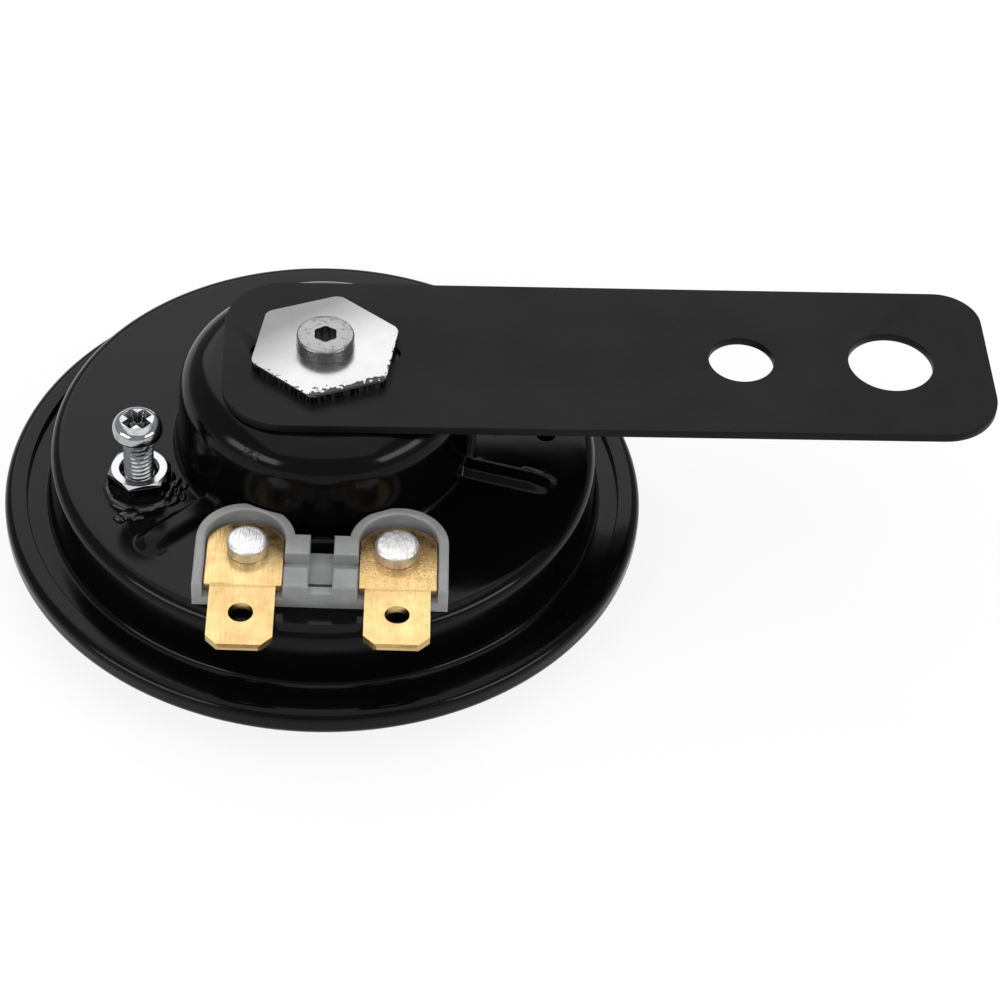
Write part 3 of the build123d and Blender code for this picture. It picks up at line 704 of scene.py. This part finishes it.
class HORN_OT_adjuster(Operator):
    """Make the adjusting screw with its thread and cross recess, and its lock nut"""

    bl_idname = "horn.adjuster"
    bl_label = "Adjusting screw"

    def execute(self, context):
        s = context.scene.horn_metal
        self.screw(s)
        self.lock_nut(s)
        return {"FINISHED"}

    def screw(self, s):
        """The screw: pan head with its recess, shank and thread."""
        place = Vector((SCREW_PLACE.x, SCREW_PLACE.y, 0))
        low, top = SCREW_LOW.z, SCREW_HIGH.z
        under = top - s.head_height
        root = s.screw - 0.6 * s.pitch
        profile = (
            (0, low), (root, low), (root, under), (s.head, under), (s.head, top),
            (0, top + 0.02 * MM),
        )
        bm = turned(profile, [0.2 * MM, 0, 0.5 * MM, 1.15 * MM], place)
        screw = add_object("adjusting_screw_body", bm)
        combine(screw, self.recess(place, top))
        bm = bmesh.new()
        bm.from_mesh(screw.data)
        self.thread(bm, s, place, low + 0.3 * MM, under - 0.05 * MM, root)
        bm.to_mesh(screw.data)
        bm.free()
        settle(screw, bright_zinc(), "adjusting_screw")

    def thread(self, bm, s, place, low, high, root):
        """Wind a V-shaped ridge up the shank."""
        turns = int((high - low) / s.pitch)
        steps = 36
        line = [(root - 0.02 * MM, 0), (s.screw, 0.4), (s.screw, 0.52), (root - 0.02 * MM, 0.92)]
        verts = [bm.verts.new(place + Vector((r, 0, low + h * s.pitch))) for r, h in line]
        edges = [bm.edges.new(pair) for pair in zip(verts, verts[1:])]
        bmesh.ops.spin(
            bm, geom=verts + edges, cent=place, axis=UP, angle=math.tau * turns,
            steps=steps * turns, dvec=UP * (s.pitch / steps), use_merge=False,
        )

    def recess(self, place, top):
        """A cross-shaped tool that narrows downwards."""
        bm = bmesh.new()
        for turn in (0, math.pi / 2):
            made = bmesh.ops.create_cube(bm, size=1.0)
            for vert in made["verts"]:
                narrow = 1.0 if vert.co.z > 0 else 0.45
                vert.co.x *= 4.0 * MM * narrow
                vert.co.y *= 1.7 * MM * narrow
                vert.co.z *= 2.4 * MM
            bmesh.ops.rotate(
                bm, verts=made["verts"], cent=(0, 0, 0),
                matrix=Matrix.Rotation(turn + math.pi / 4, 3, UP),
            )
        bmesh.ops.translate(bm, verts=bm.verts, vec=(place.x, place.y, top))
        tool = add_object("recess_tool", bm)
        melt(tool, 0.06 * MM)
        bake(tool)
        return tool

    def lock_nut(self, s):
        """The hexagon nut: its corners chamfered by a cone and its bore countersunk."""
        place = Vector((SCREW_PLACE.x, SCREW_PLACE.y, LOCK_LOW.z))
        tall = LOCK_HIGH.z - LOCK_LOW.z
        halfway = Matrix.Translation(place + UP * tall / 2)
        corner_r = s.lock_flats / math.sqrt(3)
        bm = bmesh.new()
        bmesh.ops.create_cone(
            bm, cap_ends=True, segments=6, radius1=corner_r, radius2=corner_r, depth=tall,
            matrix=halfway @ Matrix.Rotation(s.lock_turn - math.pi / 2, 4, UP),
        )
        nut = add_object("lock_nut_body", bm)
        bm = bmesh.new()
        spread = tall / math.tan(math.radians(30))
        bmesh.ops.create_cone(
            bm, cap_ends=True, segments=96, radius1=s.lock_flats / 2 + spread,
            radius2=s.lock_flats / 2 - 0.02 * MM, depth=tall, matrix=halfway,
        )
        combine(nut, add_object("chamfer_tool", bm), "INTERSECT")
        sink = 0.35 * MM
        low, flare, top = place.z - MM, LOCK_HIGH.z - 2 * sink, LOCK_HIGH.z + 0.1 * sink
        bore = (
            (0, low), (s.screw, low), (s.screw + 0.12 * MM, flare), (s.screw + 1.5 * sink, top),
            (0, top),
        )
        combine(nut, add_object("bore_tool", turned(bore, [], place, 64)))
        settle(nut, lacquered_nut(), "adjuster_lock_nut", 20.0)


class HORN_OT_lacquer(Operator):
    """Run the sealing lacquer round the lock nut, with its drips on the shoulder"""

    bl_idname = "horn.lacquer"
    bl_label = "Sealing lacquer"

    # Each drop's place from the screw, and its length, width, height and direction
    drops = (
        (2.8, 0.6, 1.5, 0.7, 0.35, 80), (2.9, -1.0, 1.3, 0.7, 0.4, 65),
        (1.8, -2.6, 1.6, 0.8, 0.4, 30), (0.2, -3.1, 1.7, 0.9, 0.4, 0),
        (-1.5, -2.8, 1.6, 0.8, 0.4, -25), (-2.8, -1.2, 1.5, 0.7, 0.35, -70),
        (-2.8, 0.8, 1.5, 0.6, 0.3, 75), (0.3, 2.8, 2.0, 0.6, 0.3, 0),
        (-0.9, -4.3, 1.2, 0.7, 0.45, 15), (-1.8, -4.9, 0.7, 0.4, 0.45, -30),
        (0.2, -4.8, 0.7, 0.35, 0.4, 20), (3.7, 0.3, 0.8, 0.3, 0.45, 60),
        (3.9, -0.9, 0.7, 0.28, 0.5, 75), (4.5, -0.2, 0.45, 0.22, 0.35, 50),
        (4.4, -1.7, 0.55, 0.25, 0.4, 85), (3.5, -2.4, 0.9, 0.3, 0.4, 40),
        (6.9, -2.8, 0.8, 0.45, 0.55, 35),
    )

    def execute(self, context):
        bm = bmesh.new()
        for x, y, long, wide, high, turn in self.drops:
            made = bmesh.ops.create_icosphere(bm, subdivisions=3, radius=MM)
            shape = (
                Matrix.Translation((SCREW_PLACE.x + x * MM, SCREW_PLACE.y + y * MM, SHOULDER_Z))
                @ Matrix.Rotation(math.radians(turn), 4, UP)
                @ Matrix.Diagonal((long, wide, high, 1))
            )
            bmesh.ops.transform(bm, matrix=shape, verts=made["verts"])
        drips = add_object("sealing_lacquer", bm)
        melt(drips, 0.09 * MM)
        flow = drips.modifiers.new("flow", "SMOOTH")
        flow.iterations = 6
        bake(drips)
        settle(drips, wet_lacquer(), None, 80.0)
        return {"FINISHED"}


class HORN_OT_terminals(Operator):
    """Finish the moulded block, the two spade terminals and their rivets"""

    bl_idname = "horn.terminals"
    bl_label = "Terminals"

    def execute(self, context):
        s = context.scene.horn_terminals
        self.rounded("terminal_block", s.block_edge, moulded_nylon(), "block_nylon")
        for side, wear, turn in (("left", 0.2, 0.7), ("right", 1.0, -0.4)):
            brass = rolled_brass(side, wear)
            self.rounded(f"terminal_{side}", s.spade_edge, brass, "terminal_brass", s.joggle)
            self.rivet(s, side, turn)
        return {"FINISHED"}

    def rounded(self, node, width, material, slot, step=0.0):
        """The node's own form with its edges broken, and a joggle where it has a step."""
        bm = copy_node(node)
        if step:
            self.joggle(bm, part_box(node)[0].y, step)
        soften(bm, width, 3, 35.0)
        settle(add_object(f"{node}_finished", bm), material, node)

    def joggle(self, bm, tip, step):
        """Set a terminal's blade a little lower than its plate, with a short slope between."""
        foot = tip + bpy.context.scene.horn_terminals.joggle_place
        for y in (foot, foot + 0.22 * MM):
            bmesh.ops.bisect_plane(
                bm, geom=bm.verts[:] + bm.edges[:] + bm.faces[:], dist=0.001 * MM,
                plane_co=(0, y, 0), plane_no=(0, 1, 0),
            )
        blade = [vert for vert in bm.verts if vert.co.y < foot + 0.01 * MM]
        bmesh.ops.translate(bm, verts=blade, vec=UP * -step)

    def rivet(self, s, side, turn):
        """A set rivet: head with a rounded, hammered top, shank and tail."""
        node = f"terminal_rivet_{side}"
        low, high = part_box(node)
        place = middle(node)
        head = (high.x - low.x) / 2
        seat = high.z - s.rivet_height
        tail = low.z + s.rivet_tail_height
        profile = (
            (0, low.z), (s.rivet_tail, low.z), (s.rivet_tail, tail), (s.rivet_shank, tail),
            (s.rivet_shank, seat), (head, seat), (head, high.z), (0, high.z),
        )
        radii = [0.2 * MM, 0.1 * MM, 0, 0, 0.12 * MM, s.rivet_edge]
        rivet = add_object(f"{node}_set", turned(profile, radii, place, segments=6))
        settle(rivet, hammered_rivet(side, turn), node)


class HORN_OT_inner(Operator):
    """Finish the CAD nodes that keep their own shape"""

    bl_idname = "horn.inner"
    bl_label = "Kept pieces"

    def execute(self, context):
        steel = drawn_metal("cold_rolled_steel", "steel", 0.3)
        spring = drawn_metal("spring_steel", "spring", 0.22)
        silver = drawn_metal("contact_silver", "bright", 0.18)
        brass = drawn_metal("tag_brass", "brass", 0.3)
        for material, nodes in (
            (steel, frame["nodes"]),
            (pressed_fibre(), ("front_gasket", "rear_gasket")),
            (pressed_laminate(), ("breaker_insulators", "inner_insulator")),
            (spring, ("diaphragm", "breaker_spring")),
            (silver, ("moving_contact", "fixed_contact")),
            (brass, ("solder_tag_left", "solder_tag_right")),
            (wound_copper(), ("coil_winding",)),
            (moulded_nylon(), ("coil_bobbin",)),
        ):
            for node in nodes:
                dress(node, material)
        return {"FINISHED"}


# Finishes

STROKES = (1, 0.08, 1)    # Draws a pattern out into short strokes
RINGS = (0.05, 0.05, 1)    # Draws a pattern out into level rings
LINES = (1, 1, 0.05)    # Draws a pattern out into upright lines


def level(degrees):
    """The level direction at an angle from the bracket's."""
    return (math.cos(math.radians(degrees)), math.sin(math.radians(degrees)), 0)


def gloss_enamel():
    """Black stoving enamel, dipped: deep gloss, faint orange peel, dust and one flaw."""
    enamel = Finish("stoved_enamel", "enamel", 0.0)
    haze = enamel.grains(7 * MM, (0.35, 0.65), (0.11, 0.19))
    dull = enamel.grains(0.3 * MM, (0.7, 0.78), stretch=STROKES, turn=0.6)
    rough = enamel.layers((haze, 1.0), (dull, 0.2))
    enamel.surface({"Specular IOR Level": 0.13, "Roughness": rough})
    peel = enamel.grains(1.6 * MM, (0.2, 0.8), (0.0, 0.3), 2.0)
    dust = enamel.grains(0.5 * MM, (0.8, 0.86), (0.0, 2.0), 1.0)
    spot = enamel.near((-7.0 * MM, -11.9 * MM, 21.2 * MM), 1.1 * MM)
    chips = enamel.grains(0.5 * MM, (0.45, 0.6), (0.0, 4.0))
    flaw = enamel.add("Math", {"operation": "MULTIPLY", 0: spot, 1: chips})
    return enamel.with_relief(enamel.layers((peel, 1.0), (dust, 1.0), (flaw, 1.0)), 0.008 * MM)


def wet_lacquer():
    """Brushed sealing lacquer: thick, black and glassy."""
    lacquer = Finish("sealing_lacquer", "enamel", 0.0)
    lacquer.surface({"Roughness": lacquer.grains(MM, (0.3, 0.7), (0.02, 0.1))})
    return lacquer.with_relief(lacquer.grains(0.45 * MM, (0.2, 0.8)), 0.03 * MM)


def satin_paint():
    """Satin black powder paint on a flat strip: fine even grain and a dull sheen."""
    paint = Finish("satin_powder_paint", "bracket", 0.0)
    rough = paint.grains(9 * MM, (0.3, 0.7), (0.36, 0.46))
    paint.surface({"Specular IOR Level": 0.11, "Roughness": rough})
    fine = paint.grains(0.25 * MM, (0.2, 0.8))
    specks = paint.grains(0.7 * MM, (0.74, 0.8), (0.0, 1.5), 1.0)
    return paint.with_relief(paint.layers((fine, 1.0), (specks, 1.0)), 0.008 * MM)


def zinc_nut():
    """Zinc-plated sheet, punched: dark lines down its sides, corroded from its front edges, with
    painted shade darkening its back-left side.
    """
    # Painted shade: the nut starts from the darker zinc, which stays on its back-left side.
    nut = Finish("zinc_plated_nut", "zinc_painted_shade", 1.0)
    flats = bpy.context.scene.horn_metal.nut_flats / 2
    close = nut.higher(*(
        nut.ramp(level(turn), flats + spared - 1.4 * MM, flats + spared)
        for turn, spared in ((-70, 0.0), (-10, 0.7 * MM), (-130, 0.7 * MM))
    ))
    on_top = nut.ramp(UP, CLAMP_HIGH.z - 0.25 * MM, CLAMP_HIGH.z - 0.1 * MM)
    pits = nut.grains(0.5 * MM, (0.3, 0.7), detail=5.0)
    creeping = nut.layers((close, 1.0), (pits, 1.0))
    corroded = nut.add("MapRange", {"From Min": 1.05, "From Max": 1.2, "Value": creeping})
    corroded = nut.add("Math", {"operation": "MULTIPLY", 0: corroded, 1: on_top})
    streaks = nut.grains(0.22 * MM, (0.42, 0.56), (1.0, 0.0), stretch=LINES)
    sides = nut.layers((on_top, -1.0), base=1.0)
    streaks = nut.add("Math", {"operation": "MULTIPLY", 0: streaks, 1: sides})
    # Painted light and shade: the plating runs from the darker zinc at the back-left to the bright
    # zinc at the front-right, as light falls on the nut.
    nut.stain(nut.ramp(level(-53.13), -5 * MM, 2 * MM), "zinc")
    nut.stain(nut.higher(corroded, nut.grains(0.9 * MM, (0.73, 0.76), (0.0, 0.6))), "corrosion_and_shade")
    nut.stain(streaks, "sheared")
    rough = nut.grains(3 * MM, (0.3, 0.7), (0.2, 0.3))
    nut.surface({"Roughness": nut.layers((rough, 1.0), (corroded, 0.4))})
    scuffs = nut.grains(0.2 * MM, (0.4, 0.7), stretch=(1, 0.1, 1), turn=0.5)
    heights = nut.layers((scuffs, 0.5), (streaks, 5.0), (corroded, -0.8))
    return nut.with_relief(heights, 0.006 * MM)


def zinc_core():
    """Zinc-plated turned steel: fine rings on its side, scratched and pitted on its end."""
    core = Finish("zinc_plated_core", "core", 1.0)
    pits = core.grains(0.5 * MM, (0.52, 0.75), (0.0, 0.8), 5.0)
    core.stain(pits, "corrosion_and_shade")
    core.surface({"Roughness": core.grains(MM, (0.3, 0.7), (0.1, 0.24))})
    rings = core.grains(0.07 * MM, (0.3, 0.7), stretch=RINGS)
    scratches = core.grains(0.15 * MM, (0.5, 0.7), stretch=STROKES, turn=1.1)
    heights = core.layers((rings, 0.12), (scratches, 1.0), (pits, -1.0))
    return core.with_relief(heights, 0.008 * MM)


def bright_zinc():
    """Bright zinc plating on a rolled screw: sharp reflections, pitted spots, and painted shade
    darkening its recess.
    """
    zinc = Finish("bright_zinc_plating", "bright", 1.0)
    # Painted shade: the head's recess and centre are darkened with the corroded-zinc colour, where
    # shade falls; the scattered spots are real pitting.
    recess = zinc.near((SCREW_PLACE.x, SCREW_PLACE.y, SCREW_HIGH.z - MM), 1.5 * MM)
    zinc.stain(zinc.higher(zinc.grains(0.8 * MM, (0.5, 0.75), (0.0, 0.5)), recess), "corrosion_and_shade")
    zinc.surface({"Roughness": zinc.grains(MM, (0.3, 0.7), (0.08, 0.2))})
    return zinc.with_relief(zinc.grains(0.5 * MM, (0.2, 0.8)), 0.012 * MM)


def lacquered_nut():
    """Bright zinc whose sides the sealing lacquer has covered up to the chamfer."""
    nut = Finish("lacquered_zinc_nut", "enamel", 1.0)
    ragged = nut.grains(0.7 * MM, (0.2, 0.8), (-0.1 * MM, 0.1 * MM))
    bare = nut.ramp(UP, LOCK_HIGH.z - 0.42 * MM, LOCK_HIGH.z - 0.36 * MM, ragged)
    nut.stain(bare, "bright")
    nut.surface({"Metallic": bare, "Roughness": nut.layers((bare, 0.12), base=0.06)})
    return nut.with_relief(nut.grains(0.6 * MM, (0.2, 0.8)), 0.01 * MM)


def moulded_nylon():
    """Natural nylon, moulded: grey, a little translucent, with a soft waxy sheen."""
    nylon = Finish("moulded_nylon", "nylon", 0.0)
    nylon.stain(nylon.grains(3 * MM, (0.3, 0.7)), "nylon_light")
    nylon.surface({
        "IOR": 1.53, "Roughness": nylon.grains(2 * MM, (0.3, 0.7), (0.34, 0.5)),
        "Subsurface Weight": 0.35, "Subsurface Radius": (1, 1, 1), "Subsurface Scale": 0.7 * MM,
    })
    return nylon.with_relief(nylon.grains(0.3 * MM, (0.2, 0.8)), 0.01 * MM)


def rolled_brass(side, wear):
    """Rolled brass strip: fine lines along the blade, mottled by wear round the rivet."""
    brass = Finish(f"rolled_brass_{side}", "brass", 1.0)
    low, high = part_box(f"terminal_rivet_{side}")
    by_rivet = brass.near((low + high) / 2, 6.6 * MM)
    mottle = brass.grains(0.22 * MM, (0.42, 0.72), (0.0, 0.9 * wear), 5.0)
    mottle = brass.add("Math", {"operation": "MULTIPLY", 0: mottle, 1: by_rivet})
    cloud = brass.grains(2.5 * MM, (0.35, 0.7), (0.0, 0.3))
    lines = brass.grains(0.14 * MM, (0.35, 0.65), stretch=(1, 0.06, 1))
    cross = brass.grains(0.16 * MM, (0.55, 0.7), stretch=(0.08, 1, 1))
    scratched, tarnished = brass.higher(lines, cross), brass.higher(mottle, cloud)
    brass.stain(brass.layers((scratched, 0.22), (tarnished, 1.0)), "tarnish")
    rough = brass.grains(1.2 * MM, (0.3, 0.7), (0.2, 0.32))
    brass.surface({"Roughness": brass.layers((rough, 1.0), (mottle, 0.15))})
    return brass.with_relief(brass.layers((lines, 0.8), (mottle, 1.5)), 0.006 * MM)


def hammered_rivet(side, turn):
    """Aluminium rivet, set by hammering: whitish, rough and scratched."""
    rivet = Finish(f"hammered_aluminium_{side}", "rivet", 1.0)
    dents = rivet.grains(0.5 * MM, (0.3, 0.7), detail=5.0)
    rivet.stain(rivet.layers((dents, 0.3)), "rivet_dark")
    rivet.surface({"Roughness": rivet.grains(0.6 * MM, (0.3, 0.7), (0.34, 0.48))})
    scratches = rivet.grains(0.2 * MM, (0.45, 0.65), stretch=(1, 0.12, 1), turn=turn)
    return rivet.with_relief(rivet.layers((dents, 0.7), (scratches, 1.0)), 0.016 * MM)


def drawn_metal(name, hue, roughness):
    """Rolled or turned metal inside the horn: fine drawing lines and a thin oil haze."""
    metal = Finish(name, hue, 1.0)
    haze = metal.grains(2 * MM, (0.3, 0.7), (roughness, roughness + 0.15))
    metal.surface({"Roughness": haze})
    lines = metal.grains(0.15 * MM, (0.3, 0.7), stretch=(0.06, 1, 1))
    return metal.with_relief(lines, 0.004 * MM)


def wound_copper():
    """Enamelled copper wire in close turns: one ridge for each 0.3 mm of winding, with painted shade
    between the turns.
    """
    copper = Finish("wound_copper", "copper_painted_shade", 1.0, 0.25)
    turns = copper.add(
        "TexWave",
        {"wave_type": "BANDS", "bands_direction": "Z", "Scale": math.pi / 10 / (0.3 * MM) / 2,
         "Distortion": 0.3, "Vector": copper.here},
        "Fac",
    )
    # Painted shade: the dark copper colour fills the grooves between the turns, where shade falls,
    # and the ridges carry the copper's own colour.
    copper.stain(turns, "copper")
    return copper.with_relief(turns, 0.08 * MM)


def pressed_laminate():
    """Paper laminate: brown, with cloudy resin and fine fibres in its plane."""
    board = Finish("pressed_laminate", "laminate", 0.0, 0.5)
    board.stain(board.grains(1.5 * MM, (0.3, 0.7)), "laminate_dark")
    fibres = board.grains(0.25 * MM, (0.3, 0.7), stretch=(1, 0.15, 1))
    return board.with_relief(fibres, 0.01 * MM)


def pressed_fibre():
    """Pressed gasket fibre: dark, matt and felted."""
    felt = Finish("pressed_fibre", "fibre", 0.0, 0.85)
    felt.stain(felt.grains(0.4 * MM, (0.3, 0.7)), "laminate_dark")
    return felt.with_relief(felt.grains(0.25 * MM, (0.3, 0.7)), 0.03 * MM)


class HORN_OT_stage(Operator):
    """Make the floor, the lights and the camera"""

    bl_idname = "horn.stage"
    bl_label = "Stage"

    def execute(self, context):
        stage = context.scene.horn_stage
        self.floor(stage)
        self.lamps()
        self.world(context.scene)
        self.camera(context.scene, stage)
        context.scene.view_settings.view_transform = "Standard"
        return {"FINISHED"}

    def floor(self, stage):
        """The paper, just below the cover, so that the two faces never meet."""
        bm = bmesh.new()
        just_below = Matrix.Translation((0, 0, -0.02 * MM))
        bmesh.ops.create_grid(bm, x_segments=1, y_segments=1, size=1.5, matrix=just_below)
        floor = add_object("floor", bm)
        floor.data.materials.append(self.paper(stage))

    def paper(self, stage):
        """Lit studio paper: white to the camera and in gloss, with the object's shadow on it."""
        paper = Finish("studio_paper", "floor", 0.0, 0.9)
        rays = ("Is Camera Ray", "Is Glossy Ray", "Is Transmission Ray")
        seen = paper.higher(*(paper.add("LightPath", {}, ray) for ray in rays))
        share = paper.layers((seen, stage.floor_glow))
        glow = paper.add("Emission", {"Strength": 1.0})
        mixed = paper.add("MixShader", {0: share, 1: paper.shader.outputs["BSDF"], 2: glow})
        paper.give(paper.tree.nodes["Material Output"], {"Surface": mixed})
        return paper.material

    def lamps(self):
        """Soft panels round the horn, each turned to it: place, size and power."""
        for name, place, size, power in (
            ("overhead_softbox", (0.0, -0.1, 1.0), (1.3, 1.3), 5.5),
            ("rear_panel", (-0.1, 0.8, 0.75), (1.0, 0.6), 3.3),
            ("left_softbox", (-0.75, -0.55, 0.36), (0.7, 0.24), 3.6),
            ("right_softbox", (0.8, -0.48, 0.42), (0.6, 0.22), 3.0),
        ):
            lamp = bpy.data.lights.new(name, "AREA")
            lamp.shape = "RECTANGLE"
            lamp.size, lamp.size_y = size
            lamp.energy = power
            holder = bpy.data.objects.new(name, lamp)
            holder.location = place
            holder.rotation_mode = "QUATERNION"
            holder.rotation_quaternion = (-Vector(place)).to_track_quat("-Z", "Y")
            bpy.context.scene.collection.objects.link(holder)

    def world(self, scene):
        """Even white light from all sides."""
        world = bpy.data.worlds.new("studio")
        world.use_nodes = True
        background = world.node_tree.nodes["Background"]
        background.inputs["Color"].default_value = linear("#ffffff")
        background.inputs["Strength"].default_value = 0.4
        scene.world = world

    def camera(self, scene, stage):
        """Place the camera from its angles, with its roll."""
        az, el = stage.azimuth, stage.elevation
        back = Vector((math.sin(az) * math.cos(el), -math.cos(az) * math.cos(el), math.sin(el)))
        right = (-back).cross(UP).normalized()
        upright = Matrix((right, right.cross(-back), back)).transposed()
        turn = upright @ Matrix.Rotation(stage.roll, 3, "Z")
        aim = Vector((stage.aim_x, -1.004 * MM, 5.0 * MM))
        data = bpy.data.cameras.new("camera")
        data.lens = stage.focal / MM
        data.sensor_width = 36.0
        data.clip_start = 0.01
        data.clip_end = 10.0
        camera = bpy.data.objects.new("camera", data)
        camera.matrix_world = Matrix.Translation(aim + back * stage.distance) @ turn.to_4x4()
        scene.collection.objects.link(camera)
        scene.camera = camera


class HORN_PT_panel(Panel):
    """Lists the horn's operators in the sidebar"""

    bl_label = "Horn"
    bl_idname = "HORN_PT_panel"
    bl_space_type = "VIEW_3D"
    bl_region_type = "UI"
    bl_category = "Horn"

    def draw(self, context):
        for operator in OPERATORS:
            self.layout.operator(operator.bl_idname)


OPERATORS = (
    HORN_OT_inner, HORN_OT_housing, HORN_OT_cover, HORN_OT_bracket, HORN_OT_clamp,
    HORN_OT_adjuster, HORN_OT_lacquer, HORN_OT_terminals, HORN_OT_stage,
)
GROUPS = {
    "horn_housing": HornHousing, "horn_metal": HornMetal, "horn_terminals": HornTerminals,
    "horn_stage": HornStage, "horn_colours": HornColours,
}


def register():
    for group in GROUPS.values():
        bpy.utils.register_class(group)
    for name, group in GROUPS.items():
        setattr(bpy.types.Scene, name, PointerProperty(type=group))
    for operator in OPERATORS:
        bpy.utils.register_class(operator)
    bpy.utils.register_class(HORN_PT_panel)


def unregister():
    bpy.utils.unregister_class(HORN_PT_panel)
    for operator in reversed(OPERATORS):
        bpy.utils.unregister_class(operator)
    for name, group in GROUPS.items():
        delattr(bpy.types.Scene, name)
        bpy.utils.unregister_class(group)


def main():
    """Build the horn, one operator after another."""
    register()
    for operator in OPERATORS:
        family, name = operator.bl_idname.split(".")
        getattr(getattr(bpy.ops, family), name)()


if __name__ == "__main__":
    main()
